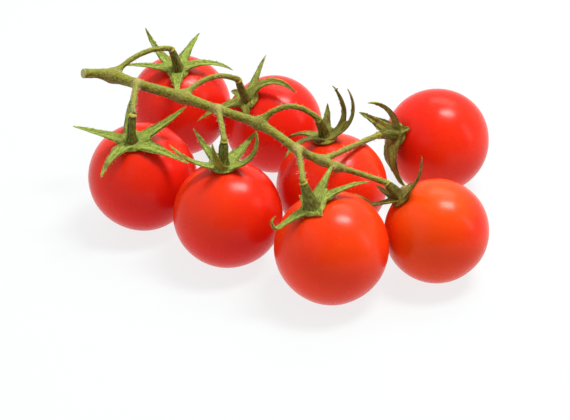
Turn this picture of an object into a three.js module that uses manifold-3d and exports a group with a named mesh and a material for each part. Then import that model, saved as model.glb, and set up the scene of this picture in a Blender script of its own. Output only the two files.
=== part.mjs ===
// A truss of eight round tomatoes, cut from the vine and lying on a table. The main stem carries eight side
// stalks, four to the front and four to the back. Each stalk ends in a knuckle; past it come the pedicel, the
// green calyx of five pointed sepals and the ripe fruit. The fruits bear on the table and hold the stem up.
// The stem and its stalks grew as one; each stalk is a body of its own, a hair's breadth from the stem.
// Millimetres, +Z up. The origin is on the table, under the middle of the truss.
import * as THREE from "three";
import { mergeVertices } from "three/addons/utils/BufferGeometryUtils.js";
import Module from "manifold-3d";

// Driving dimensions.
const FRUIT_DIAMETER = 38; // a middling fruit, and the unit of every place in the truss
const FRUIT_FLATNESS = 0.99; // a fruit's height from calyx to blossom end, as a share of its width
const PRESS = 0.15; // how far a fruit's weight flattens it against the table
const STEM_DIAMETER = 3.3; // the main stem at its cut end
const STALK_DIAMETER = 1.9; // a side stalk, from the main stem to its knuckle
const KNUCKLE_DIAMETER = 2.9; // the swelling where the stalk would break
const PEDICEL_DIAMETER = 2.5; // just past the knuckle
const PEDICEL_FOOT = 3.8; // the pedicel's diameter where it spreads into the calyx
const PEDICEL_LENGTH = 10;
const HUB_DIAMETER = 5.6; // the round middle of a calyx, where its sepals join
const HUB_THICKNESS = 1.2;
const SEPAL_LENGTH = 19.5;
const SEPAL_WIDTH = 4.2;
const SEPAL_THICKNESS = 0.9;
const SCAR_DIAMETER = 2.4; // the stub at the end of the main stem, where a bud has dropped
const SCAR_LENGTH = 1.2;
const GAP = 0.3; // the clearance between one piece and the next

// How finely the pieces are drawn.
const FRUIT_SIDES = 24;
const FRUIT_ROWS = 12;
const STEM_SIDES = 10;
const STEM_STEPS = 36;
const STALK_SIDES = 8;
const STALK_STEPS = 10;
const PEDICEL_STEPS = 7;
const SEPAL_SIDES = 6;
const SEPAL_STEPS = 9;
const SLIVER = 0.02; // the width of the slivers that are closed up where a calyx's sepals meet

// The main stem's knots, from the cut end to the tip: x, y and z in fruit diameters, and the stem's girth there
// as a share of its girth at the cut. It swells where a stalk leaves it.
const KNOTS = {
  cut: [-1.9, 1.17, 1.262, 1.0],
  neck: [-1.78, 1.25, 1.22, 1.0],
  fork5: [-1.645, 1.27, 1.185, 1.4],
  fork1: [-1.39, 1.055, 1.21, 1.05],
  fork6: [-0.955, 0.84, 1.185, 1.2],
  fork2: [-0.613, 0.566, 1.2, 0.95],
  fork7: [-0.242, 0.303, 1.2, 0.98],
  bend: [-0.045, 0.13, 1.16, 0.9],
  fork3: [0.116, -0.053, 1.13, 0.98],
  fork8: [0.326, -0.1, 1.05, 0.82],
  fork4: [0.447, -0.192, 1.04, 0.7],
};

// The fruits, 1 to 4 along the front and 5 to 8 along the back.
//   at       its place on the table, in fruit diameters
//   size     its diameter, in the same unit
//   squat    its height against a regular fruit's, where it is a flatter one
//   lean     the sideways part of the unit vector that its calyx faces along
//   knuckle  the way from the calyx to the knuckle, in pedicel lengths
//   fork     the knot of the main stem that its stalk leaves
//   bow      how far the middle of the stalk arches off a straight line, in fruit diameters
//   sepals   each sepal's [turn round the calyx, share of the sepal length, lift off the fruit at its root,
//            lift at its tip, and how far it sways round on the way], the angles in degrees
const FRUITS = [
  {
    at: [-1.33, 0.562], size: 1.02, lean: [-0.11, -0.36], knuckle: [0.06, -0.12, 1.19],
    fork: "fork1", bow: [0, 0, 0.03],
    sepals: [[170, 1.02, 18, 24, 4], [107, 0.97, -3, 10, -28], [25, 1.08, 2, 23, 6], [337, 1.04, -5, -8, -6],
      [227, 0.97, 20, 0, 29]],
  },
  {
    at: [-0.515, -0.079], size: 0.99, lean: [-0.05, -0.01], knuckle: [0.02, 0.05, 1.01],
    fork: "fork2", bow: [0, 0, 0.03],
    sepals: [[201, 1.02, 6, 54, -32], [255, 0.9, 28, 86, 0], [140, 0.8, 20, 60, 0], [57, 0.97, -2, 22, -2],
      [342, 1.05, -6, 105, 29]],
  },
  {
    at: [0.406, -0.644], size: 1.008, lean: [-0.33, -0.16], knuckle: [-0.34, -0.06, 1.01],
    fork: "fork3", bow: [0, 0, 0.02],
    sepals: [[207, 1.0, 0, 40, 22], [65, 0.97, 4, -6, 8], [36, 0.98, -4, -8, -29], [135, 0.25, 10, 60, 0],
      [300, 0.22, -5, -30, 0]],
  },
  {
    at: [1.349, -0.332], size: 0.938, lean: [-0.69, 0.04], knuckle: [-0.54, 0.04, 0.55],
    fork: "fork4", bow: [0, 0, 0.01],
    sepals: [[330, 1.0, 2, 53, 24], [195, 0.98, 28, 50, -10], [150, 0.45, 40, 95, 0], [40, 0.35, 0, -30, 0],
      [95, 0.35, -4, -20, 10]],
  },
  {
    at: [-1.062, 1.966], size: 1.02, lean: [0.01, -0.34], knuckle: [-0.21, -0.27, 1.05],
    fork: "fork5", bow: [0, 0, 0.09],
    sepals: [[143, 0.99, 5, 55, -17], [74, 0.96, -4, 8, -12], [20, 1.03, 20, -22, -35], [178, 1.0, 14, 7, 10],
      [268, 0.8, 4, 30, 10]],
  },
  {
    at: [-0.114, 1.614], size: 0.97, lean: [-0.5, -0.39], knuckle: [-0.36, -0.28, 0.99],
    fork: "fork6", bow: [0, 0, 0.11],
    sepals: [[67, 0.97, 0, -10, 8], [40, 1.1, 26, -40, -95], [181, 1.0, 11, 10, 26], [262, 0.5, 10, -30, 20],
      [132, 0.55, 0, -20, 10]],
  },
  {
    at: [0.433, 0.455], size: 1.034, squat: 0.93, lean: [-0.14, 0.05], knuckle: [-0.27, -0.36, 1.02],
    fork: "fork7", bow: [0, 0, 0.15],
    sepals: [[350, 1.22, 6, 114, -4], [12, 1.17, 10, 146, 6], [80, 0.62, 30, 60, -10], [142, 0.98, 10, -38, 0],
      [218, 0.98, 34, -24, 12]],
  },
  {
    at: [1.475, 1.239], size: 1.017, lean: [-0.79, -0.47], knuckle: [-0.81, -0.85, 0.44],
    fork: "fork8", bow: [0, -0.11, 0.07],
    sepals: [[70, 1.03, 15, 105, 10], [148, 0.97, 2, 18, 0], [15, 0.26, 25, -50, 0], [263, 1.0, 25, -34, 28],
      [200, 0.8, 0, -45, 43]],
  },
];

const FRUIT_RED = { color: 0xd2230f, roughness: 0.25, metalness: 0 };
const STEM_GREEN = { color: 0x7f8a33, roughness: 0.7, metalness: 0 };
const CALYX_GREEN = { color: 0x6f9436, roughness: 0.65, metalness: 0 };

const wasm = await Module();
wasm.setup();

// ---- Solids ----

function toSolid(geometry) {
  const bare = geometry.index ? geometry.toNonIndexed() : geometry.clone();
  bare.deleteAttribute("normal");
  bare.deleteAttribute("uv");
  const merged = mergeVertices(bare, 1e-4);
  return new wasm.Manifold(
    new wasm.Mesh({
      numProp: 3,
      vertProperties: merged.attributes.position.array,
      triVerts: new Uint32Array(merged.index.array),
    }),
  );
}

function toMesh(name, solid, finish) {
  const made = solid.getMesh();
  const geometry = new THREE.BufferGeometry();
  geometry.setAttribute("position", new THREE.BufferAttribute(made.vertProperties, 3));
  geometry.setIndex(new THREE.BufferAttribute(made.triVerts, 1));
  geometry.computeVertexNormals();
  const mesh = new THREE.Mesh(geometry, new THREE.MeshStandardMaterial(finish));
  mesh.name = name;
  return mesh;
}

// A cylinder bent and shaped along a line. stations are evenly spaced along it, each with its middle, the unit
// vectors `side` and `face` across it, and the half width and half thickness along those two.
function shapedAlong(stations, sides) {
  const geometry = new THREE.CylinderGeometry(1, 1, 1, sides, stations.length - 1);
  const position = geometry.attributes.position;
  const point = new THREE.Vector3();
  for (let i = 0; i < position.count; i++) {
    const station = stations[Math.round((position.getY(i) + 0.5) * (stations.length - 1))];
    point.copy(station.middle);
    point.addScaledVector(station.side, position.getX(i) * station.halfWidth);
    point.addScaledVector(station.face, position.getZ(i) * station.halfThickness);
    position.setXYZ(i, point.x, point.y, point.z);
  }
  return geometry;
}

// Stations of a round tube along a curve, whose radius at a share t of its length is radiusAt(t).
function roundStations(curve, steps, radiusAt) {
  const frames = curve.computeFrenetFrames(steps);
  return frames.tangents.map((along, i) => ({
    middle: curve.getPointAt(i / steps),
    along,
    side: frames.binormals[i],
    face: frames.normals[i],
    halfWidth: radiusAt(i / steps),
    halfThickness: radiusAt(i / steps),
  }));
}

// The same tube with a margin all round it, and past its two ends.
function withMargin(stations, margin) {
  return stations.map((station, i) => {
    const past = i === 0 ? -margin : i === stations.length - 1 ? margin : 0;
    return {
      ...station,
      middle: station.middle.clone().addScaledVector(station.along, past),
      halfWidth: station.halfWidth + margin,
      halfThickness: station.halfThickness + margin,
    };
  });
}

// The value at t of a curve that passes through [t, value] pairs with straight stretches between them.
function between(pairs, t) {
  const next = pairs.findIndex(([at]) => at >= t);
  if (next <= 0) return pairs[next < 0 ? pairs.length - 1 : 0][1];
  const [t0, v0] = pairs[next - 1];
  const [t1, v1] = pairs[next];
  return v0 + ((v1 - v0) * (t - t0)) / (t1 - t0);
}

// ---- Where each fruit lies ----

const inFruits = (triple) => new THREE.Vector3(...triple).multiplyScalar(FRUIT_DIAMETER);

// A fruit's outline from blossom end to calyx, turned about its own axis, +Z here.
function fruitGeometry(radius, flatness) {
  const outline = [];
  for (let row = 0; row <= FRUIT_ROWS; row++) {
    const angle = (row / FRUIT_ROWS - 0.5) * Math.PI;
    const onAxis = row === 0 || row === FRUIT_ROWS;
    const across = onAxis ? 0 : radius * Math.cos(angle);
    outline.push(new THREE.Vector2(across, radius * flatness * Math.sin(angle)));
  }
  return new THREE.LatheGeometry(outline, FRUIT_SIDES).rotateX(Math.PI / 2);
}

function settle(fruit, number) {
  const [leanX, leanY] = fruit.lean;
  const axis = new THREE.Vector3(leanX, leanY, Math.sqrt(1 - leanX ** 2 - leanY ** 2));
  const radius = (fruit.size * FRUIT_DIAMETER) / 2;
  const flatness = FRUIT_FLATNESS * (fruit.squat ?? 1);
  const geometry = fruitGeometry(radius, flatness);
  geometry.applyQuaternion(new THREE.Quaternion().setFromUnitVectors(new THREE.Vector3(0, 0, 1), axis));
  geometry.computeBoundingBox();
  const middle = inFruits([...fruit.at, 0]).setZ(-geometry.boundingBox.min.z - PRESS);
  geometry.translate(...middle.toArray());
  const pole = middle.clone().addScaledVector(axis, radius * flatness);
  const knuckle = pole.clone().add(new THREE.Vector3(...fruit.knuckle).multiplyScalar(PEDICEL_LENGTH));
  return { ...fruit, number, axis, radius, flatness, geometry, middle, pole, knuckle };
}

const settled = FRUITS.map((fruit, i) => settle(fruit, i + 1));

// ---- The main stem and its stalks ----

function stemStations() {
  const knots = Object.values(KNOTS);
  const points = knots.map(([x, y, z]) => inFruits([x, y, z]));
  const runs = [0];
  for (let i = 1; i < points.length; i++) runs.push(runs[i - 1] + points[i].distanceTo(points[i - 1]));
  const girths = knots.map(([, , , girth], i) => [runs[i] / runs.at(-1), girth]);
  const curve = new THREE.CatmullRomCurve3(points, false, "centripetal");
  return roundStations(curve, STEM_STEPS, (t) => (between(girths, t) * STEM_DIAMETER) / 2);
}

// A stalk swells where it leaves the main stem and again at its knuckle.
const STALK_GIRTHS = [[0, 1.3], [0.12, 1.1], [0.3, 1], [0.85, 1], [1, 1.2]];

function stalkStations({ fork, knuckle, bow }) {
  const start = inFruits(KNOTS[fork].slice(0, 3));
  const third = knuckle.clone().sub(start).divideScalar(3);
  const arch = inFruits(bow).multiplyScalar(4 / 3);
  const curve = new THREE.CubicBezierCurve3(
    start,
    start.clone().add(third).add(arch),
    knuckle.clone().sub(third).add(arch),
    knuckle,
  );
  return roundStations(curve, STALK_STEPS, (t) => (between(STALK_GIRTHS, t) * STALK_DIAMETER) / 2);
}

// The pedicel runs from the knuckle into the calyx, square to the fruit at its foot.
function pedicelStations({ pole, axis, knuckle }) {
  const foot = pole.clone().addScaledVector(axis, GAP + HUB_THICKNESS + GAP);
  const along = foot.clone().sub(knuckle).normalize();
  const head = knuckle.clone().addScaledVector(along, GAP);
  const bend = foot.clone().addScaledVector(axis, PEDICEL_LENGTH * 0.35);
  const curve = new THREE.QuadraticBezierCurve3(head, bend, foot);
  const girths = [[0, KNUCKLE_DIAMETER], [0.2, PEDICEL_DIAMETER], [0.6, PEDICEL_DIAMETER], [1, PEDICEL_FOOT]];
  return roundStations(curve, PEDICEL_STEPS, (t) => between(girths, t) / 2);
}

// The stub at the tip of the main stem points out to the side, away from the last stalk. margin is added all
// round it.
function scarGeometry(margin) {
  const radius = SCAR_DIAMETER / 2 + margin;
  const geometry = new THREE.CylinderGeometry(radius, radius, SCAR_LENGTH + 2 * margin, STALK_SIDES);
  const outward = new THREE.Vector3(-0.35, -0.8, 0.35).normalize();
  const tip = inFruits(KNOTS.fork4.slice(0, 3));
  const stemRadius = (KNOTS.fork4[3] * STEM_DIAMETER) / 2;
  geometry.applyQuaternion(new THREE.Quaternion().setFromUnitVectors(new THREE.Vector3(0, 1, 0), outward));
  geometry.translate(...tip.addScaledVector(outward, stemRadius).toArray());
  return geometry;
}

const stem = stemStations();
const stalks = settled.map(stalkStations);
const pedicels = settled.map(pedicelStations);

// ---- The calyces ----

// Moves a point out of the fruits and the stems, to at least `margin` from their surfaces.
function keptClear(point, margin, own) {
  for (const fruit of settled) {
    const from = point.clone().sub(fruit.middle);
    const along = from.dot(fruit.axis);
    const across = Math.sqrt(Math.max(from.lengthSq() - along ** 2, 0));
    const size = Math.hypot(across, along / fruit.flatness);
    const least = fruit.radius + (fruit === own ? GAP + SEPAL_THICKNESS / 2 : margin);
    if (size < least) point.copy(fruit.middle).addScaledVector(from, least / size);
  }
  for (const station of [...stem, ...stalks.flat()]) {
    const from = point.clone().sub(station.middle);
    const least = station.halfWidth + margin;
    if (from.length() < least) point.copy(station.middle).addScaledVector(from.normalize(), least);
  }
  return point;
}

// A sepal is widest a fifth of the way out, and tapers to a fine tip.
const SEPAL_WIDTHS = [[0, 0.8], [0.1, 0.95], [0.22, 1], [0.45, 0.82], [0.7, 0.52], [0.88, 0.28], [1, 0.12]];
const SEPAL_ROOT = 1.3; // its root's distance from the middle of the calyx

function sepalStations(fruit, [turn, reach, lift, tipLift, sway]) {
  const radians = THREE.MathUtils.degToRad;
  const east = new THREE.Vector3(1, 0, 0).projectOnPlane(fruit.axis).normalize();
  const north = fruit.axis.clone().cross(east);
  const outAt = (angle) =>
    east.clone().multiplyScalar(Math.cos(angle)).addScaledVector(north, Math.sin(angle));
  const step = (reach * SEPAL_LENGTH) / SEPAL_STEPS;
  const middle = fruit.pole.clone().addScaledVector(fruit.axis, GAP + SEPAL_THICKNESS / 2);
  middle.addScaledVector(outAt(radians(turn)), SEPAL_ROOT);
  const stations = [];
  for (let i = 0; i <= SEPAL_STEPS; i++) {
    const t = i / SEPAL_STEPS;
    const out = outAt(radians(turn + sway * t));
    const rise = radians(lift + (tipLift - lift) * t);
    const onward = out.clone().multiplyScalar(Math.cos(rise)).addScaledVector(fruit.axis, Math.sin(rise));
    const halfWidth = (between(SEPAL_WIDTHS, t) * SEPAL_WIDTH) / 2;
    if (i) middle.addScaledVector(onward, step);
    keptClear(middle, GAP + SEPAL_THICKNESS / 2 + halfWidth, fruit);
    const side = fruit.axis.clone().cross(out).normalize();
    stations.push({ middle: middle.clone(), side, halfWidth });
  }
  return stations.map((s, i) => {
    const before = stations[Math.max(i - 1, 0)].middle;
    const after = stations[Math.min(i + 1, SEPAL_STEPS)].middle;
    const along = after.clone().sub(before).normalize();
    const side = s.side.clone().projectOnPlane(along).normalize();
    const face = side.clone().cross(along).normalize();
    const taper = i === SEPAL_STEPS ? 0.5 : 1;
    return { ...s, side, face, halfThickness: (taper * SEPAL_THICKNESS) / 2 };
  });
}

function hubGeometry({ pole, axis }) {
  const geometry = new THREE.CylinderGeometry(HUB_DIAMETER / 2 - 0.6, HUB_DIAMETER / 2, HUB_THICKNESS, 10);
  geometry.applyQuaternion(new THREE.Quaternion().setFromUnitVectors(new THREE.Vector3(0, 1, 0), axis));
  const middle = pole.clone().addScaledVector(axis, GAP + HUB_THICKNESS / 2);
  return geometry.translate(...middle.toArray());
}

// ---- The pieces ----

const table = toSolid(new THREE.BoxGeometry(1e3, 1e3, 1e2).translate(0, 0, -50));
const tube = (stations, sides) => toSolid(shapedAlong(stations, sides));
const stemRoom = tube(withMargin(stem, GAP), STEM_SIDES).add(toSolid(scarGeometry(GAP)));
const pedicelRooms = pedicels.map((stations) => tube(withMargin(stations, GAP), STALK_SIDES));

function stemSolid() {
  return tube(stem, STEM_SIDES).add(toSolid(scarGeometry(0)));
}

// A stalk is cut to the main stem at its root, and to the pedicel at its knuckle.
function stalkSolid({ number }) {
  return tube(stalks[number - 1], STALK_SIDES).subtract(stemRoom).subtract(pedicelRooms[number - 1]);
}

function calyxSolid(fruit) {
  return fruit.sepals
    .map((sepal) => tube(sepalStations(fruit, sepal), SEPAL_SIDES))
    .reduce((whole, sepal) => whole.add(sepal), toSolid(hubGeometry(fruit)))
    .subtract(pedicelRooms[fruit.number - 1])
    .simplify(SLIVER);
}

function fruitSolid({ geometry }) {
  return toSolid(geometry).subtract(table);
}

const truss = new THREE.Group();
truss.add(toMesh("main_stem", stemSolid(), STEM_GREEN));
for (const fruit of settled) {
  const n = fruit.number;
  truss.add(toMesh(`stalk_${n}`, stalkSolid(fruit), STEM_GREEN));
  truss.add(toMesh(`pedicel_${n}`, tube(pedicels[n - 1], STALK_SIDES), STEM_GREEN));
  truss.add(toMesh(`calyx_${n}`, calyxSolid(fruit), CALYX_GREEN));
  truss.add(toMesh(`tomato_${n}`, fruitSolid(fruit), FRUIT_RED));
}

const bounds = new THREE.Box3().setFromObject(truss, true);
const centre = bounds.getCenter(new THREE.Vector3());
truss.position.set(-centre.x, -centre.y, 0);

export default truss;
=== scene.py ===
"""A truss of eight ripe tomatoes on a pale table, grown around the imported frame. Lengths are in millimetres
until a mesh is made, and the frame's own metres after that."""

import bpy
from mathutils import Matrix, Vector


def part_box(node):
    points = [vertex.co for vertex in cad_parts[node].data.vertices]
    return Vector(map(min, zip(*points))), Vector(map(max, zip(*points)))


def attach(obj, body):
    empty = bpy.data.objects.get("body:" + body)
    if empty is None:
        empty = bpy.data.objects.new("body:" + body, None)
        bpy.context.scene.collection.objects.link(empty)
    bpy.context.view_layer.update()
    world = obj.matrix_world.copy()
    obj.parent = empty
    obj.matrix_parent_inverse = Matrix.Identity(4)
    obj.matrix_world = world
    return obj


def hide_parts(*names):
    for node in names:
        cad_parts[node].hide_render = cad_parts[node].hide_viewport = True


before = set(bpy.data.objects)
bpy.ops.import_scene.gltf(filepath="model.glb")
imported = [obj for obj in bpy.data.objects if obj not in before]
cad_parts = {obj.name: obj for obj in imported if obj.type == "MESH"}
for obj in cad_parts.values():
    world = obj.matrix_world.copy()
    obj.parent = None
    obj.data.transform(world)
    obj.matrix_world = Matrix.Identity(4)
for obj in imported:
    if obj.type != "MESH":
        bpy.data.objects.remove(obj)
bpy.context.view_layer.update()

import math
import random

import bpy
import numpy as np
from mathutils import Vector, noise

MM = 0.001
FRUIT = 38.0  # the middling fruit's diameter, and the unit of the layout below
FLATNESS = 0.99  # a fruit's height along its axis, as a share of its width
PEDICEL = 10.0  # from the knuckle to the calyx
SEPAL = 19.5  # a sepal whose reach is 1, from root to tip
STEM_WIDTH = 3.3  # at the cut end
STALK_WIDTH = 1.9

# ---------------------------------------------------------------- layout

# The main stem's knots: x, y, z in fruit diameters, and the stem's girth there.
KNOTS = {
    "cut": (-1.9, 1.17, 1.262, 1.06),
    "neck": (-1.78, 1.25, 1.22, 1.0),
    "fork5": (-1.645, 1.27, 1.185, 1.4),
    "fork1": (-1.39, 1.055, 1.21, 1.05),
    "fork6": (-0.955, 0.84, 1.185, 1.2),
    "fork2": (-0.613, 0.566, 1.2, 0.95),
    "fork7": (-0.242, 0.303, 1.2, 0.95),
    "bend": (-0.045, 0.13, 1.16, 0.9),
    "fork3": (0.116, -0.053, 1.13, 0.95),
    "fork8": (0.326, -0.1, 1.05, 0.8),
    "fork4": (0.447, -0.192, 1.04, 0.68),
}

# Each fruit: the sideways part of its calyx's direction, its diameter, where its knuckle is from the calyx
# in pedicel lengths, the knot its stalk leaves, how far the stalk arches, how stout the pedicel is and how
# wide its foot. Then its sepals: turn round the calyx, length, lift at the root, lift at the tip and sway,
# and where they matter how far the very tip curls up, how far the blade twists and how broad it is.
FRUITS = [
    dict(lean=(-0.11, -0.36), size=1.02, knuckle=(0.06, -0.12, 1.19), fork="fork1", bow=(0, 0, 0.03),
         stout=1.22, foot=1.0,
         sepals=[(170, 1.02, 18, 24, 4), (107, 0.97, -3, 10, -28), (25, 1.08, 2, 23, 6, 0, 20, 1.1),
                 (337, 1.04, -5, -8, -6, 0, 0, 1.2), (227, 0.97, 20, 0, 29, 0, 0, 1.15)]),
    dict(lean=(-0.05, -0.01), size=0.99, knuckle=(0.02, 0.05, 1.01), fork="fork2", bow=(0, 0, 0.03),
         stout=1.32, foot=1.0,
         sepals=[(201, 1.02, 6, 54, -32), (255, 0.9, 28, 86, 0, 0, 0, 0.9), (140, 0.8, 20, 60, 0, 0, 0, 1.1),
                 (57, 0.97, -2, 22, -2, 0, 0, 1.3), (342, 1.05, -6, 105, 29, 0, 30, 1.15)]),
    dict(lean=(-0.33, -0.16), size=1.008, knuckle=(-0.34, -0.06, 1.01), fork="fork3", bow=(0, 0, 0.02),
         stout=1.2, foot=1.45,
         sepals=[(207, 1.0, 0, 12, 22, 150), (65, 0.97, 4, -6, 8, 0, 0, 1.1),
                 (36, 0.98, -4, -8, -29, 0, 0, 1.1), (135, 0.25, 10, 60, 0), (300, 0.22, -5, -30, 0)]),
    dict(lean=(-0.69, 0.04), size=0.938, knuckle=(-0.54, 0.04, 0.55), fork="fork4", bow=(0, 0, 0.01),
         stout=1.3, foot=1.25,
         sepals=[(330, 1.0, 2, 53, 24), (195, 0.98, 28, 50, -10), (150, 0.45, 40, 95, 0),
                 (40, 0.35, 0, -30, 0), (95, 0.35, -4, -20, 10)]),
    dict(lean=(0.01, -0.34), size=1.02, knuckle=(-0.21, -0.27, 1.05), fork="fork5", bow=(0, 0, 0.09),
         stout=1.2, foot=1.1,
         sepals=[(143, 0.99, 5, 55, -17), (74, 0.96, -4, 8, -12, 0, 0, 1.1), (20, 1.03, 20, -22, -35),
                 (178, 1.0, 14, 7, 10, 0, 0, 0.9), (268, 0.8, 4, 30, 10, 0, 0, 1.15)]),
    dict(lean=(-0.5, -0.39), size=0.97, knuckle=(-0.36, -0.28, 0.99), fork="fork6", bow=(0, 0, 0.11),
         stout=1.1, foot=1.1,
         sepals=[(67, 0.97, 0, -10, 8), (40, 1.1, 26, -40, -95), (181, 1.0, 11, 10, 26),
                 (262, 0.5, 10, -30, 20), (132, 0.55, 0, -20, 10)]),
    dict(lean=(-0.14, 0.05), size=1.034, squat=0.93, knuckle=(-0.27, -0.36, 1.02), fork="fork7",
         bow=(0, 0, 0.15), stout=1.3, foot=1.0,
         sepals=[(350, 1.22, 6, 114, -4, 0, 45, 0.95), (12, 1.17, 10, 146, 6, -26, 45, 0.95),
                 (80, 0.62, 30, 60, -10, 0, 30), (142, 0.98, 10, -38, 0), (218, 0.98, 34, -24, 12)]),
    dict(lean=(-0.79, -0.47), size=1.017, knuckle=(-0.81, -0.85, 0.44), fork="fork8", bow=(0, -0.11, 0.07),
         stout=1.3, foot=1.2,
         sepals=[(70, 1.03, 15, 105, 10, 0, 30), (148, 0.97, 2, 18, 0, 0, 30, 1.3),
                 (15, 0.26, 25, -50, 0, 0, 0, 1.4), (263, 1.0, 25, -34, 28, 0, 0, 1.5),
                 (200, 0.8, 0, -45, 43, 0, 0, 0.9)]),
]
FIRST_FRUIT_AT = (-1.33, 0.562)

first_low, first_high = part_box("tomato_1")
LAYOUT = np.array([
    (first_low.x + first_high.x) / 2 / MM - FIRST_FRUIT_AT[0] * FRUIT,
    (first_low.y + first_high.y) / 2 / MM - FIRST_FRUIT_AT[1] * FRUIT,
    0.0,
])


def unit(v):
    v = np.asarray(v, float)
    return v / np.linalg.norm(v, axis=-1, keepdims=True)


def at_knot(name):
    return LAYOUT + FRUIT * np.array(KNOTS[name][:3])


def settle(number, fruit):
    """Adds where the fruit lies, its axis and its knuckle, in the frame."""
    low, high = (np.array(corner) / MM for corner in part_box(f"tomato_{number}"))
    lean = np.array(fruit["lean"])
    axis = np.array([lean[0], lean[1], math.sqrt(1 - lean @ lean)])
    radius = fruit["size"] * FRUIT / 2
    flatness = FLATNESS * fruit.get("squat", 1)
    middle = (low + high) / 2
    middle[2] = high[2] - np.hypot(radius * math.hypot(*lean), radius * flatness * axis[2])
    pole = middle + axis * radius * flatness
    knuckle = pole + PEDICEL * np.array(fruit["knuckle"])
    fruit.update(number=number, axis=axis, radius=radius, flatness=flatness, middle=middle, pole=pole,
                 knuckle=knuckle)


for index, fruit in enumerate(FRUITS):
    settle(index + 1, fruit)

# ---------------------------------------------------------------- camera

CAMERA_AIM = LAYOUT + np.array([0, 0, 18.0])
CAMERA_DISTANCE = 546.0
CAMERA_PITCH = math.radians(32)
CAMERA_LENS = 100.0

camera = bpy.data.objects.new("camera", bpy.data.cameras.new("camera"))
bpy.context.scene.collection.objects.link(camera)
camera.data.lens = CAMERA_LENS
camera.data.sensor_width = 36.0
camera.data.clip_start = 0.01
from_aim = np.array([0, -math.cos(CAMERA_PITCH), math.sin(CAMERA_PITCH)])
camera.location = MM * (CAMERA_AIM + CAMERA_DISTANCE * from_aim)
camera.rotation_euler = (math.pi / 2 - CAMERA_PITCH, 0, 0)
bpy.context.scene.camera = camera

# ---------------------------------------------------------------- lines and tubes


def smooth_path(points, per_span):
    """A centripetal Catmull-Rom curve through the points."""
    p = np.asarray(points, float)
    p = np.vstack([2 * p[0] - p[1], p, 2 * p[-1] - p[-2]])
    gaps = np.sqrt(np.linalg.norm(np.diff(p, axis=0), axis=1))
    out = []
    for i in range(1, len(p) - 2):
        before, span, after = gaps[i - 1], gaps[i], gaps[i + 1]
        leave = span * ((p[i] - p[i - 1]) / before - (p[i + 1] - p[i - 1]) / (before + span)
                        + (p[i + 1] - p[i]) / span)
        arrive = span * ((p[i + 1] - p[i]) / span - (p[i + 2] - p[i]) / (span + after)
                         + (p[i + 2] - p[i + 1]) / after)
        for t in np.arange(per_span) / per_span:
            out.append((2 * t**3 - 3 * t**2 + 1) * p[i] + (t**3 - 2 * t**2 + t) * leave
                       + (3 * t**2 - 2 * t**3) * p[i + 1] + (t**3 - t**2) * arrive)
    out.append(p[-2])
    return np.array(out)


def even_path(path, count):
    """The same path with evenly spaced points."""
    run = run_along(path)
    return np.column_stack([np.interp(np.linspace(0, run[-1], count), run, path[:, k]) for k in range(3)])


def run_along(path):
    return np.concatenate([[0], np.cumsum(np.linalg.norm(np.diff(path, axis=0), axis=1))])


def tangents(path):
    return unit(np.gradient(path, axis=0))


def carried_frames(path, first_side):
    """Side and face vectors carried along a path with no twist."""
    along = tangents(path)
    side = [unit(first_side - (first_side @ along[0]) * along[0])]
    for t in along[1:]:
        s = side[-1] - (side[-1] @ t) * t
        side.append(unit(s))
    side = np.array(side)
    return along, side, np.cross(along, side)


def bezier(a, b, c, d, count):
    t = np.linspace(0, 1, count)[:, None]
    return (1 - t) ** 3 * a + 3 * (1 - t) ** 2 * t * b + 3 * (1 - t) * t**2 * c + t**3 * d


def table(pairs, t):
    return np.interp(t, [p[0] for p in pairs], [p[1] for p in pairs])


def loft(rings):
    """A closed surface through rings of points, each (sides, 3), with fans over both ends."""
    count, sides = len(rings), len(rings[0])
    points = np.concatenate([*rings, [rings[0].mean(0)], [rings[-1].mean(0)]])
    faces = []
    for i in range(count - 1):
        for j in range(sides):
            k = (j + 1) % sides
            faces.append((i * sides + j, i * sides + k, (i + 1) * sides + k, (i + 1) * sides + j))
    last = (count - 1) * sides
    for j in range(sides):
        k = (j + 1) % sides
        faces.append((count * sides, k, j))
        faces.append((count * sides + 1, last + j, last + k))
    return points, faces


def tube_rings(path, radii, sides, first_side=(0.3, 0.2, 1.0)):
    _, side, face = carried_frames(path, np.array(first_side))
    angle = np.arange(sides) * 2 * math.pi / sides
    return [path[i] + radii[i] * (np.cos(angle)[:, None] * side[i] + np.sin(angle)[:, None] * face[i])
            for i in range(len(path))]


# ---------------------------------------------------------------- meshes


def make_piece(name, points, faces, attributes=None, scale=MM):
    mesh = bpy.data.meshes.new(name)
    mesh.from_pydata((np.asarray(points) * scale).tolist(), [], [tuple(f) for f in faces])
    mesh.update()
    for key, values in (attributes or {}).items():
        values = np.asarray(values, np.float32)
        kind = "FLOAT" if values.ndim == 1 else "FLOAT_VECTOR"
        layer = mesh.attributes.new(key, kind, "POINT")
        layer.data.foreach_set("value" if values.ndim == 1 else "vector", values.ravel())
    mesh.polygons.foreach_set("use_smooth", [True] * len(mesh.polygons))
    piece = bpy.data.objects.new(name, mesh)
    bpy.context.scene.collection.objects.link(piece)
    return piece


def joined(parts):
    points, faces, start = [], [], 0
    for p, f in parts:
        points.append(p)
        faces.extend([tuple(i + start for i in face) for face in f])
        start += len(p)
    return np.concatenate(points), faces


def remeshed(points, faces, voxel):
    """One closed skin round overlapping closed meshes."""
    rough = make_piece("rough", points, faces, scale=1.0)
    modifier = rough.modifiers.new("skin", "REMESH")
    modifier.mode = "VOXEL"
    modifier.voxel_size = voxel
    skin = bpy.data.meshes.new_from_object(rough.evaluated_get(bpy.context.evaluated_depsgraph_get()))
    bpy.data.objects.remove(rough)
    out = np.empty(len(skin.vertices) * 3)
    skin.vertices.foreach_get("co", out)
    faces = [tuple(p.vertices) for p in skin.polygons]
    bpy.data.meshes.remove(skin)
    return out.reshape(-1, 3), faces


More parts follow.
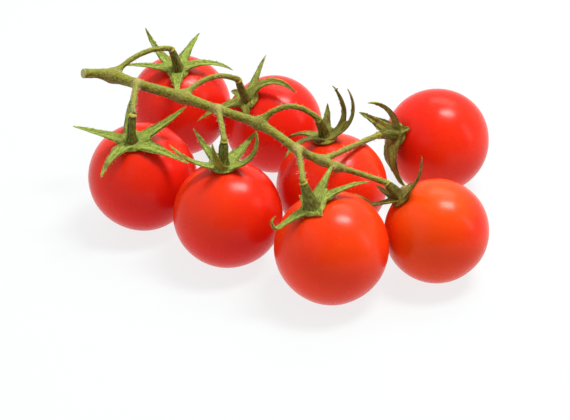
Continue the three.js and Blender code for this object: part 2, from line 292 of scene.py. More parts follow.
def triangles_of(faces):
    tris = [(f[0], f[1], f[2]) for f in faces] + [(f[0], f[2], f[3]) for f in faces if len(f) == 4]
    return np.array(tris)


def vertex_normals(points, tris):
    a, b, c = points[tris[:, 0]], points[tris[:, 1]], points[tris[:, 2]]
    face = np.cross(b - a, c - a)
    out = np.zeros_like(points)
    for k in range(3):
        np.add.at(out, tris[:, k], face)
    return out / np.maximum(np.linalg.norm(out, axis=1, keepdims=True), 1e-12)


def relaxed(points, tris, share):
    """Each point moved a share of the way to the middle of its neighbours."""
    total = np.zeros_like(points)
    count = np.zeros(len(points))
    for i, j in ((0, 1), (1, 2), (2, 0)):
        for a, b in ((i, j), (j, i)):
            np.add.at(total, tris[:, a], points[tris[:, b]])
            np.add.at(count, tris[:, a], 1)
    return points + share * (total / np.maximum(count, 1)[:, None] - points)


FIT_STEP = 0.05  # how far off the field's slope is measured
FIT_SLOPE = 0.3  # the least slope that is believed
FIT_REACH = 0.4  # the most a point moves in one round
FIT_RELAX = 0.5


def settled_on(field, points, faces, rounds=3):
    """Moves a mesh onto the surface where the field is zero."""
    tris = triangles_of(faces)
    for turn in range(rounds):
        normal = vertex_normals(points, tris)
        here = field(points)
        slope = (field(points + normal * FIT_STEP) - here) / FIT_STEP
        slope = np.where(np.abs(slope) < FIT_SLOPE, FIT_SLOPE, slope)
        points = points - normal * np.clip(here / slope, -FIT_REACH, FIT_REACH)[:, None]
        if turn < rounds - 1:
            points = relaxed(points, tris, FIT_RELAX)
    return points, vertex_normals(points, tris)


def soft_least(fields, softness):
    """A smooth minimum: surfaces that meet run together with a fillet."""
    fields = np.array(fields)
    least = fields.min(axis=0)
    return least - softness * np.log(np.exp(-(fields - least) / softness).sum(axis=0))


CHUNK = 20000  # points worked on at a time, to save memory


def in_chunks(function, points):
    return np.concatenate([function(points[i:i + CHUNK]) for i in range(0, len(points), CHUNK)])


# ---------------------------------------------------------------- stem

STEM_VOXEL = 0.2
FILLET = 0.85  # how softly the stalks run into the stem
FRONT_FORKS = ("fork1", "fork2", "fork3")
FRONT_ROOT = np.array([0, -0.75, 0.75])  # where a front stalk starts, from the stem's middle
# How many times its own width a stalk is at its root.
ROOT_FLARES = dict(fork1=1.3, fork2=1.3, fork3=1.3, fork4=1.2, fork5=2.4, fork6=2.1, fork7=2.0, fork8=1.5)
SCAR_OUT = unit([-0.35, -0.8, 0.35])  # which way the scar of a dropped bud faces
SCAR_WIDTH = 1.8
STEM_LUMPS = 0.13
STEM_DENTS = 0.05
SCAR_EYE = 0.42  # the radius of the dark dot in the scar
COLLAR_AT = np.array([0, -0.6, 0.6])  # the pale skin round a front stalk's root, from the root
COLLAR_REACH = 1.9
CREASE_AT = np.array([1.9, -0.6, -0.5])  # the brown fold beside it
CREASE_REACH = 1.3


def tube_distance(points, tube):
    """How far each point is from a tube's skin."""
    a, b = tube["path"][:-1], tube["path"][1:]
    ab = b - a
    t = np.einsum("nsk,sk->ns", points[:, None] - a, ab) / np.einsum("sk,sk->s", ab, ab)
    t = np.clip(t, 0, 1)
    gap = np.linalg.norm(points[:, None] - (a + t[..., None] * ab), axis=2)
    radii = tube["radii"]
    return (gap - (radii[:-1] + t * (radii[1:] - radii[:-1]))).min(axis=1)


def tube_place(points, tube):
    """How far along a tube each point is, and its direction from the middle line."""
    path = tube["path"]
    nearest = in_chunks(lambda chunk: ((chunk[:, None] - path) ** 2).sum(axis=2).argmin(axis=1), points)
    offset = points - path[nearest]
    across = np.einsum("nk,nk->n", offset, tube["side"][nearest])
    up = np.einsum("nk,nk->n", offset, tube["face"][nearest])
    return run_along(path)[nearest] + np.einsum("nk,nk->n", offset, tube["along"][nearest]), across, up


def with_frames(tube):
    along, side, face = carried_frames(tube["path"], np.array([0.3, 0.2, 1.0]))
    tube.update(along=along, side=side, face=face)
    return tube


def main_stem_tube():
    knots = list(KNOTS.values())
    points = [LAYOUT + FRUIT * np.array(k[:3]) for k in knots]
    path = smooth_path(points, 8)
    run = run_along(path)
    girth = np.interp(run, run[::8], [k[3] for k in knots])
    return with_frames(dict(path=path, radii=girth * STEM_WIDTH / 2))


def stalk_tube(fruit):
    start = at_knot(fruit["fork"])
    if fruit["fork"] in FRONT_FORKS:
        start = start + FRONT_ROOT
    end = fruit["knuckle"]
    third = (end - start) / 3
    arch = np.array(fruit["bow"]) * FRUIT * 4 / 3
    path = even_path(bezier(start, start + third + arch, end - third + arch, end, 40), 24)
    run = run_along(path)
    flare = ROOT_FLARES[fruit["fork"]]
    girth = 1 + (flare - 1) * table([(0, 1), (1.5, 0.75), (3, 0.3), (5.5, 0)], run)
    girth = girth + table([(0.85, 0), (0.95, 0.08), (1, 0.12)], run / run[-1])
    return with_frames(dict(path=path, radii=girth * STALK_WIDTH / 2))


def scar_tube():
    tip = at_knot("fork4")
    length = KNOTS["fork4"][3] * STEM_WIDTH / 2 + 0.45
    path = np.linspace(tip, tip + SCAR_OUT * length, 4)
    return with_frames(dict(path=path, radii=np.full(4, SCAR_WIDTH / 2 - 0.15)))


main_stem = main_stem_tube()
stalks = [stalk_tube(fruit) for fruit in FRUITS]
scar = scar_tube()
STEM_TUBES = [main_stem, *stalks, scar]


def stem_field(points):
    def body(chunk):
        distance = soft_least([tube_distance(chunk, tube) for tube in STEM_TUBES], FILLET)
        beyond_cut = (chunk - main_stem["path"][0]) @ -main_stem["along"][0]
        return np.maximum(distance, beyond_cut - 0.3)
    return in_chunks(body, points)


def nearness(points, place, reach):
    """One at the place, and fading out over the reach."""
    return np.exp(-(np.linalg.norm(points - place, axis=1) / reach) ** 2)


def build_stem():
    rough = joined([loft(tube_rings(tube["path"], tube["radii"], 12)) for tube in STEM_TUBES])
    points, faces = remeshed(*rough, STEM_VOXEL)
    points, normals = settled_on(stem_field, points, faces)
    distances = np.stack([in_chunks(lambda chunk, t=tube: tube_distance(chunk, t), points)
                          for tube in STEM_TUBES])
    owner = distances.argmin(axis=0)
    grain = np.zeros((len(points), 3))
    for i, tube in enumerate(STEM_TUBES):
        mine = owner == i
        along, across, up = tube_place(points[mine], tube)
        grain[mine] = np.column_stack([across, up, along * 0.12 + i * 5])
    fork_gap = np.sort(distances, axis=0)
    fork = np.exp(-((fork_gap[1] - fork_gap[0]) / 0.9) ** 2)
    before_cut = (points - main_stem["path"][0]) @ main_stem["along"][0]
    cut = np.clip((0.05 - before_cut) / 0.2, 0, 1)
    rim = np.exp(-(before_cut / 0.45) ** 2)
    collar, crease = np.zeros(len(points)), np.zeros(len(points))
    for stalk, fruit in zip(stalks, FRUITS):
        if fruit["fork"] in FRONT_FORKS:
            root = stalk["path"][0]
            collar += nearness(points, root + COLLAR_AT, COLLAR_REACH)
            crease += nearness(points, root + CREASE_AT, CREASE_REACH)
    from_scar = points - scar["path"][-1]
    off_axis = np.linalg.norm(from_scar - np.outer(from_scar @ SCAR_OUT, SCAR_OUT), axis=1)
    outside = from_scar @ SCAR_OUT > -0.2
    lumps = np.array([noise.noise(Vector(p) * 0.45) for p in points])
    dents = np.array([noise.noise(Vector(p) * 1.5) for p in points])
    points = points + normals * ((STEM_LUMPS * lumps + STEM_DENTS * dents) * (1 - cut))[:, None]
    # under is how far the skin faces down; the stem's colour uses it for a painted lighter top and painted
    # shade below.
    return make_piece("stem_and_stalks", points, faces, dict(
        grain=grain, fork=fork, cut=cut, rim=rim, collar=np.clip(collar, 0, 1), crease=np.clip(crease, 0, 1),
        scar=outside * np.clip((SCAR_WIDTH / 2 - off_axis) / 0.2, 0, 1),
        eye=outside * np.clip((SCAR_EYE - off_axis) / 0.2, 0, 1), under=-normals[:, 2]))


# ---------------------------------------------------------------- pedicels

PEDICEL_SIDES = 32
PEDICEL_ROWS = 64
PEDICEL_SUNK = 0.7  # how far off the fruit's pole the pedicel ends, inside the calyx
# Radii at shares of the way from the knuckle to the foot.
PEDICEL_RADII = [(0, 0.95), (0.015, 1.25), (0.04, 1.42), (0.065, 1.38), (0.09, 1.12), (0.12, 1.16),
                 (0.4, 1.22), (0.65, 1.36), (0.82, 1.66), (0.93, 2.05), (1, 2.4)]
KNOB_AT, KNOB_REACH, KNOB_LUMPS = 0.045, 0.03, 0.16  # the rough collar at the knuckle


def build_pedicel(fruit):
    axis, pole, knuckle = fruit["axis"], fruit["pole"], fruit["knuckle"]
    foot = pole + axis * PEDICEL_SUNK
    bend = foot + axis * PEDICEL * 0.4
    t = np.linspace(0, 1, PEDICEL_ROWS)
    curve = (1 - t)[:, None] ** 2 * knuckle + 2 * ((1 - t) * t)[:, None] * bend + (t**2)[:, None] * foot
    path = even_path(curve, PEDICEL_ROWS)
    width = table(PEDICEL_RADII, t)
    width *= table([(0, 1), (0.1, 1), (0.2, fruit["stout"]), (0.45, fruit["stout"] * (1 + fruit["foot"]) / 2),
                    (1, fruit["foot"])], t)
    along, side, face = carried_frames(path, np.array([0.3, 0.2, 1.0]))
    angle = np.arange(PEDICEL_SIDES) * 2 * math.pi / PEDICEL_SIDES
    rings = []
    for i, at in enumerate(t):
        ribs = 1 + 0.06 * np.cos(5 * angle + fruit["number"]) + 0.03 * np.cos(9 * angle + 4 * at)
        knob = KNOB_LUMPS * math.exp(-((at - KNOB_AT) / KNOB_REACH) ** 2)
        lump = np.array([noise.noise(Vector((math.cos(a), math.sin(a), 3 * at + 7 * fruit["number"])) * 1.9)
                         for a in angle])
        reach = width[i] * ribs + (0.09 + knob) * lump
        spoke = np.cos(angle)[:, None] * side[i] + np.sin(angle)[:, None] * face[i]
        rings.append(path[i] + reach[:, None] * spoke)
    points, faces = loft(rings)
    at = np.append(np.repeat(t, PEDICEL_SIDES), [0, 1])
    swirl = np.append(np.tile(angle, len(t)), [0, 0])
    grain = np.column_stack([1.3 * np.cos(swirl), 1.3 * np.sin(swirl), at * 1.2 + 11 * fruit["number"]])
    return make_piece(f"pedicel_{fruit['number']}_skin", points, faces, dict(grain=grain, at=at))


# ---------------------------------------------------------------- calyces

CALYX_VOXEL = 0.16
SEPAL_WIDTH = 4.8
SEPAL_WIDTHS = [(0, 0.95), (0.1, 1.0), (0.24, 0.98), (0.42, 0.78), (0.6, 0.56), (0.8, 0.33), (0.93, 0.17),
                (1, 0.06)]
SEPAL_EDGE = 0.13
SEPAL_THICKNESS = 0.34
WEB_RADIUS = 3.9
WEB_SOFTNESS = 0.42
WEB_RISE = 0.55  # how high the calyx sits over the fruit's pole
SEPAL_POINTS = 40
SEPAL_START = 1.3  # where a sepal's spine starts, from the calyx's middle
SEPAL_STEPS = 14
TIP_CURL_FROM = 0.65  # the share of its length past which a sepal's very tip curls
CLEARANCE_OWN = 0.3  # what a sepal keeps from its own fruit's skin
CLEARANCE = 0.5  # and from any other's
# How far the hub colour reaches: painted shade on a green calyx, a real reddish brown on a dry one.
HUB_REACH = 3.2


def kept_clear(point, own):
    """The point, or the nearest place to it that is clear of every fruit."""
    for fruit in FRUITS:
        offset = point - fruit["middle"]
        along = offset @ fruit["axis"]
        across = math.sqrt(max(offset @ offset - along**2, 0))
        size = math.hypot(across, along / fruit["flatness"])
        least = fruit["radius"] + (CLEARANCE_OWN if fruit is own else CLEARANCE)
        if size < least:
            point = fruit["middle"] + offset * least / size
    return point


def sepal_blade(fruit, turn, reach, lift, tip_lift, sway, curl=0, twist=0, broad=1):
    """A sepal's spine, with its side, face, half width, thickness and fold at each point."""
    axis = fruit["axis"]
    east = unit(np.array([1, 0, 0]) - axis[0] * axis)
    north = np.cross(axis, east)
    steps = SEPAL_STEPS
    point = fruit["pole"] + axis * WEB_RISE
    spine, outs = [], []
    for i in range(steps + 1):
        t = i / steps
        angle = math.radians(turn + sway * t)
        into_tip = max(t - TIP_CURL_FROM, 0) / (1 - TIP_CURL_FROM)
        rise = math.radians(lift + (tip_lift - lift) * t + curl * into_tip)
        out = math.cos(angle) * east + math.sin(angle) * north
        if i == 0:
            point = point + out * SEPAL_START
        else:
            point = point + reach * SEPAL / steps * (math.cos(rise) * out + math.sin(rise) * axis)
        point = kept_clear(point, fruit)
        spine.append(point)
        outs.append(out)
    path = even_path(smooth_path(spine, 6), SEPAL_POINTS)
    t = np.linspace(0, 1, SEPAL_POINTS)
    outs = np.array(outs)
    outs = np.column_stack([np.interp(t * steps, np.arange(steps + 1), outs[:, k]) for k in range(3)])
    along = tangents(path)
    side = np.cross(axis, outs)
    side = unit(side - np.einsum("nk,nk->n", side, along)[:, None] * along)
    face = np.cross(along, side)
    face *= np.sign(np.einsum("nk,k->n", face, axis) + np.einsum("nk,nk->n", face, -outs) * 0.5)[:, None]
    turned = np.radians(twist * np.clip(t * 1.6 - 0.3, 0, 1))[:, None]
    side = np.cos(turned) * side + np.sin(turned) * face
    face = np.cross(along, side) * np.sign(np.einsum("nk,nk->n", np.cross(along, side), face))[:, None]
    half = table(SEPAL_WIDTHS, t) * table([(0, 1), (0.15, broad), (1, broad)], t) * SEPAL_WIDTH / 2
    thick = SEPAL_THICKNESS * table([(0, 1.25), (0.3, 1), (0.8, 0.75), (1, 0.45)], t)
    fold = table([(0, 0.1), (0.2, 0.25), (0.6, 0.6), (1, 0.8)], t)
    return dict(path=path, run=run_along(path), along=along, side=side, face=face, half=half, thick=thick,
                fold=fold)


def blade_place(points, blade):
    """Each point's place in a blade: t along it, u across it, v off its face, and how far past its ends."""
    path = blade["path"]
    nearest = ((points[:, None] - path) ** 2).sum(axis=2).argmin(axis=1)
    offset = points - path[nearest]
    ahead = np.einsum("nk,nk->n", offset, blade["along"][nearest])
    step = blade["run"][1]
    other = np.clip(nearest + np.where(ahead > 0, 1, -1), 0, len(path) - 1)
    share = np.clip(np.abs(ahead) / step, 0, 1) * (other != nearest)

    def mixed(values):
        weight = share if values.ndim == 1 else share[:, None]
        return values[nearest] * (1 - weight) + values[other] * weight

    offset = points - mixed(path)
    u = np.einsum("nk,nk->n", offset, mixed(blade["side"]))
    v = np.einsum("nk,nk->n", offset, mixed(blade["face"]))
    past = np.einsum("nk,nk->n", offset, mixed(blade["along"])) * (other == nearest)
    return mixed(blade["run"]), u, v, past, mixed(blade["half"]), mixed(blade["thick"]), mixed(blade["fold"])


def blade_field(points, blade):
    _, u, v, past, half, thick, fold = blade_place(points, blade)
    share = np.clip(np.abs(u) / half, 0, 1.2)
    trough = fold * (np.sqrt(u**2 + 0.09) - 0.3)
    rib = 0.1 * np.exp(-(u / 0.3) ** 2)
    skin = SEPAL_EDGE + (thick - SEPAL_EDGE) * np.clip(1 - share**2, 0, 1)
    over = np.maximum(np.abs(u) - (half - SEPAL_EDGE), 0)
    return np.sqrt(over**2 + (v - trough + rib) ** 2 + past**2) - skin


def build_calyx(fruit):
    blades = [sepal_blade(fruit, *sepal) for sepal in fruit["sepals"]]
    axis, pole = fruit["axis"], fruit["pole"]

    def field(points):
        def body(chunk):
            offset = chunk - pole
            height = offset @ axis
            across = np.sqrt(np.maximum((offset**2).sum(axis=1) - height**2, 0))
            dome = height - WEB_RISE + across**2 / (2 * fruit["radius"])
            web = np.sqrt(np.maximum(across - WEB_RADIUS, 0) ** 2 + dome**2) - 0.3
            return soft_least([web, *(blade_field(chunk, blade) for blade in blades)], WEB_SOFTNESS)
        return in_chunks(body, points)

    angle = np.arange(12) * 2 * math.pi / 12
    parts = []
    for blade in blades:
        rings = [blade["path"][i]
                 + np.cos(angle)[:, None] * blade["side"][i] * blade["half"][i]
                 + np.sin(angle)[:, None] * blade["face"][i] * 0.3 for i in range(SEPAL_POINTS)]
        parts.append(loft(rings))
    disc_path = np.array([pole - axis * 0.1, pole + axis * 0.8])
    parts.append(loft(tube_rings(disc_path, np.array([WEB_RADIUS, WEB_RADIUS]), 24)))
    points, faces = remeshed(*joined(parts), CALYX_VOXEL)
    points, normals = settled_on(field, points, faces)

    distances = np.stack([in_chunks(lambda c, b=blade: blade_field(c, b), points) for blade in blades])
    owner = distances.argmin(axis=0)
    grain = np.zeros((len(points), 3))
    at, edge, upper = np.zeros(len(points)), np.zeros(len(points)), np.zeros(len(points))
    for i, blade in enumerate(blades):
        mine = owner == i
        run, u, v, _, half, _, _ = blade_place(points[mine], blade)
        grain[mine] = np.column_stack([u, run * 0.12, np.full(mine.sum(), i * 7.0 + 40 * fruit["number"])])
        at[mine] = run / blade["run"][-1]
        edge[mine] = np.clip(np.abs(u) / half, 0, 1)
        upper[mine] = np.clip(0.5 + 0.5 * np.einsum("nk,nk->n", normals[mine], blade["face"][
            np.clip((at[mine] * (SEPAL_POINTS - 1)).astype(int), 0, SEPAL_POINTS - 1)]) * 1.6, 0, 1)
    hub = nearness(points, pole, HUB_REACH)
    fruit["blades"] = blades
    return make_piece(f"calyx_{fruit['number']}_skin", points, faces,
                      dict(grain=grain, at=at, edge=edge, upper=upper, hub=hub))


# ---------------------------------------------------------------- fruits

FRUIT_AROUND = 96
FRUIT_ROWS = 56
DIMPLE = 0.03  # shares of the radius
DIMPLE_ANGLE = 0.22  # radians
BLOSSOM_DENT = 0.008
BLOSSOM_ANGLE = 0.09


def build_fruit(fruit):
    axis, radius = fruit["axis"], fruit["radius"]
    east = unit(np.array([1, 0, 0]) - axis[0] * axis)
    north = np.cross(axis, east)
    seed = 3.7 * fruit["number"]
    polar = np.linspace(0, math.pi, FRUIT_ROWS + 1)
    round_ = np.arange(FRUIT_AROUND) * 2 * math.pi / FRUIT_AROUND
    rings, tops = [], []
    for p in polar[1:-1]:
        lobes = 0.004 * np.cos(3 * round_ + seed) + 0.003 * np.cos(5 * round_ + 2 * seed)
        reach = radius * (1 + lobes * math.sin(p) - DIMPLE * math.exp(-(p / DIMPLE_ANGLE) ** 2)
                          - BLOSSOM_DENT * math.exp(-((math.pi - p) / BLOSSOM_ANGLE) ** 2))
        across = reach * math.sin(p)
        height = reach * fruit["flatness"] * math.cos(p)
        rings.append(fruit["middle"] + across[:, None] * (np.cos(round_)[:, None] * east
                                                          + np.sin(round_)[:, None] * north)
                     + height[:, None] * axis)
        tops.append(np.full(FRUIT_AROUND, math.cos(p)))
    points, faces = loft(rings)
    faces = [tuple(reversed(f)) for f in faces]
    points[-2] = fruit["middle"] + axis * radius * fruit["flatness"] * (1 - DIMPLE)
    points[-1] = fruit["middle"] - axis * radius * fruit["flatness"] * (1 - BLOSSOM_DENT)
    points[:, 2] = np.maximum(points[:, 2], 0.0)
    top = np.concatenate([*tops, [1.0, -1.0]])
    return make_piece(f"tomato_{fruit['number']}_skin", points, faces, dict(top=top))


# ---------------------------------------------------------------- hairs

HAIR_SIDES = 3
HAIR_WIDTH = 0.09
STEM_HAIRS_PER_MM = 3.0
SEPAL_HAIRS = 16


def hair(root, out, length, bend):
    t = np.linspace(0, 1, 4)[:, None]
    path = root + out * length * t + bend * length * 0.3 * t**2
    radii = HAIR_WIDTH / 2 * np.array([1.0, 0.8, 0.5, 0.15])
    return loft(tube_rings(path, radii, HAIR_SIDES, (0.31, 0.22, 0.93)))


def build_hairs():
    """Fine hairs that stand off the stems and along the sepals' edges."""
    chance = random.Random(8)
    hairs = []
    for tube in (main_stem, *stalks):
        for _ in range(int(STEM_HAIRS_PER_MM * run_along(tube["path"])[-1])):
            i = chance.randrange(2, len(tube["path"]))
            turn = chance.uniform(0, 2 * math.pi)
            out = math.cos(turn) * tube["side"][i] + math.sin(turn) * tube["face"][i]
            slide = tube["along"][i] * chance.uniform(-0.4, 0.4)
            root = tube["path"][i] + out * tube["radii"][i] * 0.9 + slide
            bend = np.array([chance.gauss(0, 0.5) for _ in range(3)])
            hairs.append(hair(root, out, chance.uniform(0.5, 1.3), bend))
    for fruit in FRUITS:
        for blade in fruit["blades"]:
            for _ in range(SEPAL_HAIRS):
                i = chance.randrange(4, SEPAL_POINTS)
                edge = chance.choice((-1, 1)) * blade["side"][i]
                root = blade["path"][i] + edge * blade["half"][i] * 0.95
                out = unit(edge + 0.6 * blade["face"][i] * chance.uniform(-1, 1))
                hairs.append(hair(root, out, chance.uniform(0.25, 0.6), -0.5 * fruit["axis"]))
    return make_piece("fine_hairs", *joined(hairs))


# ---------------------------------------------------------------- materials


def srgb(r, g, b):
    """A screen colour, 0 to 255, as the renderer's linear light."""
    def linear(c):
        c /= 255
        return c / 12.92 if c <= 0.04045 else ((c + 0.055) / 1.055) ** 2.4
    return (linear(r), linear(g), linear(b), 1.0)


class Nodes:
    """A short way to write a material's nodes."""

    def __init__(self, name):
        self.material = bpy.data.materials.new(name)
        self.material.use_nodes = True
        self.tree = self.material.node_tree
        self.tree.nodes.clear()
        self.shader = self.tree.nodes.new("ShaderNodeBsdfPrincipled")
        out = self.tree.nodes.new("ShaderNodeOutputMaterial")
        self.link(self.shader.outputs[0], out.inputs["Surface"])

    def link(self, a, b):
        self.tree.links.new(a, b)

    def put(self, socket, value):
        if hasattr(value, "is_output"):
            self.link(value, socket)
        else:
            socket.default_value = value

    def attribute(self, name, output="Fac"):
        node = self.tree.nodes.new("ShaderNodeAttribute")
        node.attribute_name = name
        return node.outputs[output]

    def position(self):
        return self.tree.nodes.new("ShaderNodeTexCoord").outputs["Object"]

    def noise(self, vector, scale, detail=3.0, rough=0.5):
        node = self.tree.nodes.new("ShaderNodeTexNoise")
        self.put(node.inputs["Vector"], vector)
        node.inputs["Scale"].default_value = scale
        node.inputs["Detail"].default_value = detail
        node.inputs["Roughness"].default_value = rough
        return node.outputs["Fac"]

    def scaled(self, vector, by):
        node = self.tree.nodes.new("ShaderNodeVectorMath")
        node.operation = "MULTIPLY"
        self.put(node.inputs[0], vector)
        node.inputs[1].default_value = by
        return node.outputs[0]

    def math(self, operation, a, b=0.0, c=0.0, clamp=False):
        node = self.tree.nodes.new("ShaderNodeMath")
        node.operation = operation
        node.use_clamp = clamp
        for socket, value in zip(node.inputs, (a, b, c)):
            self.put(socket, value)
        return node.outputs[0]

    def band(self, value, low, high, out_low=0.0, out_high=1.0):
        node = self.tree.nodes.new("ShaderNodeMapRange")
        node.interpolation_type = "SMOOTHSTEP"
        self.put(node.inputs["Value"], value)
        for key, number in zip(("From Min", "From Max", "To Min", "To Max"), (low, high, out_low, out_high)):
            node.inputs[key].default_value = number
        return node.outputs[0]

    def mix(self, factor, a, b):
        node = self.tree.nodes.new("ShaderNodeMix")
        node.data_type = "RGBA"
        self.put(node.inputs[0], factor)
        self.put(node.inputs[6], a)
        self.put(node.inputs[7], b)
        return node.outputs[2]

    def bump(self, height, strength, distance):
        node = self.tree.nodes.new("ShaderNodeBump")
        node.inputs["Strength"].default_value = strength
        node.inputs["Distance"].default_value = distance
        self.link(height, node.inputs["Height"])
        self.link(node.outputs[0], self.shader.inputs["Normal"])

    def set(self, **values):
        for key, value in values.items():
            self.put(self.shader.inputs[key.replace("_", " ")], value)


def skin_material(fruit):
    n = Nodes(f"tomato_skin_{fruit['number']}")
    red, orange = fruit["red"], fruit["orange"]
    place = n.position()
    broad = n.band(n.noise(place, 30.0, 2.5), 0.32, 0.7)
    shoulder = n.band(n.attribute("top"), -0.2, 0.95)
    share = n.math("MULTIPLY_ADD", broad, 0.6, n.math("MULTIPLY", shoulder, 0.4), clamp=True)
    colour = n.mix(share, red, orange)
    fleck = n.band(n.noise(place, 1400.0, 2.0), 0.62, 0.72, 0.0, 0.1)
    colour = n.mix(fleck, colour, srgb(240, 110, 50))
    scar = n.band(n.attribute("top"), -0.9985, -0.9995)
    colour = n.mix(scar, colour, srgb(96, 62, 32))
    n.set(Base_Color=colour, IOR=1.25)
    n.set(Roughness=n.band(n.noise(place, 260.0, 3.0), 0.3, 0.7, 0.22, 0.28))
    n.set(Subsurface_Weight=0.15, Subsurface_Radius=(1.0, 0.14, 0.06), Subsurface_Scale=0.0025)
    n.bump(n.noise(place, 900.0, 2.0), 0.05, 0.0002)
    return n.material


def stem_material():
    n = Nodes("stem_green")
    grain = n.attribute("grain", "Vector")
    streak = n.noise(n.scaled(grain, (3.2, 3.2, 6.0)), 1.0, 4.0, 0.6)
    patch = n.noise(n.position(), 160.0, 3.0)
    green = n.mix(n.band(streak, 0.38, 0.62), srgb(70, 68, 14), srgb(144, 144, 44))
    # Painted light: faces that look up are mixed towards a lighter green, as the lit side of the stem.
    top = n.band(n.attribute("under"), -0.3, -0.95)
    green = n.mix(n.math("MULTIPLY", top, 0.35), green, srgb(154, 160, 58))
    # Browner on faces that look down and in random patches: the downward part is painted shade, the patches
    # are the stem's own brown.
    brown = n.band(n.math("MULTIPLY_ADD", n.attribute("under"), 0.38, patch), 0.5, 0.85, 0.0, 0.85)
    colour = n.mix(brown, green, srgb(96, 68, 16))
    colour = n.mix(n.math("MULTIPLY", n.attribute("fork"), 0.12), colour, srgb(190, 172, 120))
    colour = n.mix(n.math("MULTIPLY", n.attribute("collar"), 0.6), colour, srgb(186, 164, 98))
    colour = n.mix(n.math("MULTIPLY", n.attribute("crease"), 0.85), colour, srgb(84, 54, 18))
    colour = n.mix(n.math("MULTIPLY", n.attribute("rim"), 0.4), colour, srgb(96, 84, 34))
    colour = n.mix(n.attribute("cut"), colour, srgb(172, 168, 104))
    colour = n.mix(n.attribute("scar"), colour, srgb(206, 180, 120))
    colour = n.mix(n.attribute("eye"), colour, srgb(38, 22, 10))
    n.set(Base_Color=colour, Roughness=0.62, Sheen_Weight=0.05, Sheen_Roughness=0.5, IOR=1.3)
    n.set(Sheen_Tint=(0.9, 0.9, 0.6, 1.0), Subsurface_Weight=0.08, Subsurface_Radius=(0.5, 0.8, 0.2))
    n.set(Subsurface_Scale=0.0008)
    fine = n.noise(n.position(), 2600.0, 2.0)
    n.bump(n.math("MULTIPLY_ADD", streak, 1.0, n.math("MULTIPLY", fine, 0.5)), 0.7, 0.00028)
    return n.material


def pedicel_material(dryness):
    n = Nodes(f"pedicel_green_{int(dryness * 100)}")
    grain = n.attribute("grain", "Vector")
    streak = n.noise(n.scaled(grain, (2.6, 2.6, 5.0)), 1.0, 4.0, 0.6)
    green = n.mix(n.band(streak, 0.35, 0.65), srgb(54, 62, 10), srgb(120, 122, 34))
    patch = n.noise(n.position(), 260.0, 3.0)
    brown = n.band(n.math("ADD", patch, dryness * 0.25), 0.55, 0.8, 0.0, 0.8)
    colour = n.mix(brown, green, srgb(92, 66, 18))
    at = n.attribute("at")
    collar = n.band(at, 0.09, 0.05)
    colour = n.mix(n.math("MULTIPLY", collar, 0.85), colour, srgb(176, 164, 62))
    crease = n.math("MULTIPLY", n.band(at, 0.06, 0.09), n.band(at, 0.14, 0.1))
    colour = n.mix(n.math("MULTIPLY", crease, 0.8), colour, srgb(64, 46, 12))
    n.set(Base_Color=colour, Roughness=0.6, Sheen_Weight=0.04, Sheen_Roughness=0.5, IOR=1.3)
    n.bump(n.math("ADD", streak, n.noise(n.position(), 2200.0, 2.0)), 0.7, 0.0003)
    return n.material


def calyx_material(fruit):
    n = Nodes(f"calyx_green_{fruit['number']}")
    dry = fruit["dry"]
    grain = n.attribute("grain", "Vector")
    veins = n.noise(n.scaled(grain, (5.0, 6.0, 2.2)), 1.0, 4.0, 0.65)
    down = n.noise(n.position(), 2400.0, 2.0)
    under = n.mix(n.band(veins, 0.35, 0.65), srgb(84, 92, 14), srgb(142, 146, 38))
    inner = n.mix(n.band(veins, 0.38, 0.62), srgb(98, 116, 28), srgb(168, 184, 78))
    green = n.mix(n.attribute("upper"), under, inner)
    olive = n.mix(n.band(veins, 0.35, 0.65), srgb(86, 66, 12), srgb(150, 130, 38))
    colour = n.mix(dry, green, olive)
    patch = n.noise(n.position(), 300.0, 3.0)
    wither = n.math("MULTIPLY_ADD", n.attribute("at"), 0.22, patch)
    brown = n.band(n.math("ADD", wither, dry * 0.28), 0.68, 0.95, 0.0, 0.85)
    colour = n.mix(brown, colour, srgb(92, 54, 22))
    past_web = n.band(n.attribute("at"), 0.14, 0.3, 0.0, 0.55)
    margin = n.math("MULTIPLY", n.band(n.attribute("edge"), 0.78, 0.97), past_web)
    colour = n.mix(margin, colour, srgb(184, 196, 84) if dry < 0.4 else srgb(190, 168, 56))
    # Towards the hub the colour goes darker: on a green calyx this is painted shade round the pedicel's foot,
    # on a dry one a real reddish brown.
    hub = n.math("MULTIPLY", n.attribute("hub"), 0.45 if dry < 0.4 else 0.9)
    colour = n.mix(hub, colour, srgb(92, 84, 24) if dry < 0.4 else srgb(120, 62, 16))
    n.set(Base_Color=colour, Roughness=0.6, Sheen_Weight=0.06, Sheen_Roughness=0.45, IOR=1.3)
    n.set(Sheen_Tint=(0.9, 1.0, 0.7, 1.0), Subsurface_Weight=0.1, Subsurface_Radius=(0.4, 0.8, 0.2))
    n.set(Subsurface_Scale=0.0006)
    n.bump(n.math("MULTIPLY_ADD", veins, 1.2, n.math("MULTIPLY", down, 0.5)), 0.8, 0.0003)
    return n.material


def hair_material():
    n = Nodes("pale_hair")
    shade = n.noise(n.position(), 900.0, 2.0)
    colour = n.mix(n.band(shade, 0.35, 0.65), srgb(206, 206, 150), srgb(236, 226, 196))
    n.set(Base_Color=colour, Roughness=0.5)
    return n.material


def floor_material():
    n = Nodes("pale_floor")
    n.set(Base_Color=FLOOR_COLOUR, Roughness=0.8, Specular_IOR_Level=0.1)
    n.set(Emission_Color=(1.0, 1.0, 1.0, 1.0), Emission_Strength=FLOOR_GLOW)
    return n.material


# ---------------------------------------------------------------- assembly

FLOOR_COLOUR = (0.105, 0.12, 0.12, 1.0)
FLOOR_GLOW = 0.8
DRYNESS = [0.02, 0.1, 0.15, 0.65, 0.02, 0.3, 0.45, 0.3]
REDS = [(216, 12, 12), (220, 18, 12), (226, 28, 10), (228, 34, 8), (210, 12, 12), (216, 12, 12),
        (214, 16, 10), (220, 14, 12)]
ORANGES = [(226, 42, 14), (230, 54, 12), (234, 66, 12), (236, 78, 12), (222, 40, 14), (224, 40, 14),
           (226, 54, 12), (232, 50, 14)]


def place(piece, material, slot, *nodes):
    piece.data.materials.append(material)
    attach(piece, "root")
    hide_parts(*nodes)


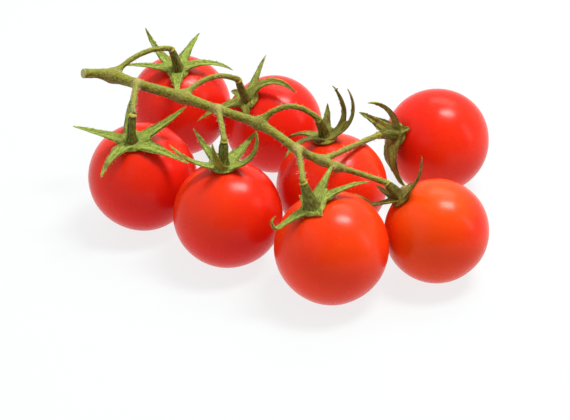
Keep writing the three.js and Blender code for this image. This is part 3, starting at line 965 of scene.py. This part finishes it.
stem = build_stem()
place(stem, stem_material(), "stem_green", "main_stem", *(f"stalk_{f['number']}" for f in FRUITS))
for fruit in FRUITS:
    n = fruit["number"]
    fruit["dry"] = DRYNESS[n - 1]
    fruit["red"] = srgb(*REDS[n - 1])
    fruit["orange"] = srgb(*ORANGES[n - 1])
    place(build_fruit(fruit), skin_material(fruit), "tomato_skin", f"tomato_{n}")
    place(build_pedicel(fruit), pedicel_material(fruit["dry"]), "stem_green", f"pedicel_{n}")
    place(build_calyx(fruit), calyx_material(fruit), "calyx_green", f"calyx_{n}")

hairs = build_hairs()
hairs.data.materials.append(hair_material())
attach(hairs, "root")

# ---------------------------------------------------------------- floor and light

FLOOR_REACH = 3000.0
floor_points = [(x * FLOOR_REACH, y * FLOOR_REACH, 0) for x, y in ((-1, -1), (1, -1), (1, 1), (-1, 1))]
floor = make_piece("floor", np.array(floor_points, float), [(0, 1, 2, 3)])
floor.data.materials.append(floor_material())

TRUSS_MIDDLE = LAYOUT + np.array([0, 20.0, 20.0])


def softbox(name, direction, distance, size, power):
    """A rectangular light that faces the truss. Its distance is in millimetres, its size in metres."""
    light = bpy.data.lights.new(name, "AREA")
    light.shape = "RECTANGLE"
    light.size, light.size_y = size
    light.energy = power
    box = bpy.data.objects.new(name, light)
    bpy.context.scene.collection.objects.link(box)
    direction = unit(direction)
    box.location = MM * (TRUSS_MIDDLE + distance * direction)
    box.rotation_euler = Vector(direction).to_track_quat("Z", "Y").to_euler()


softbox("key", (0.33, 0.04, 0.93), 1000, (0.23, 0.4), 10.6)
softbox("back", (0.2, 0.58, 0.79), 1200, (0.8, 0.4), 3.5)
softbox("side", (0.9, -0.16, 0.39), 1100, (0.16, 0.6), 1.2)
softbox("left", (-0.8, -0.45, 0.38), 1200, (1.6, 1.6), 5.0)

# The room is dark in front of the truss and bright behind it.
world = bpy.data.worlds.new("studio")
bpy.context.scene.world = world
world.use_nodes = True
tree = world.node_tree
towards = tree.nodes.new("ShaderNodeTexCoord").outputs["Generated"]
split = tree.nodes.new("ShaderNodeSeparateXYZ")
tree.links.new(towards, split.inputs[0])
ramp = tree.nodes.new("ShaderNodeMapRange")
ramp.interpolation_type = "SMOOTHSTEP"
for key, number in zip(("From Min", "From Max", "To Min", "To Max"), (-0.7, 0.3, 0.2, 0.78)):
    ramp.inputs[key].default_value = number
tree.links.new(split.outputs["Y"], ramp.inputs["Value"])
tree.links.new(ramp.outputs[0], tree.nodes["Background"].inputs["Strength"])
tree.nodes["Background"].inputs["Color"].default_value = (1, 1, 1, 1)
bpy.context.scene.view_settings.view_transform = "Standard"
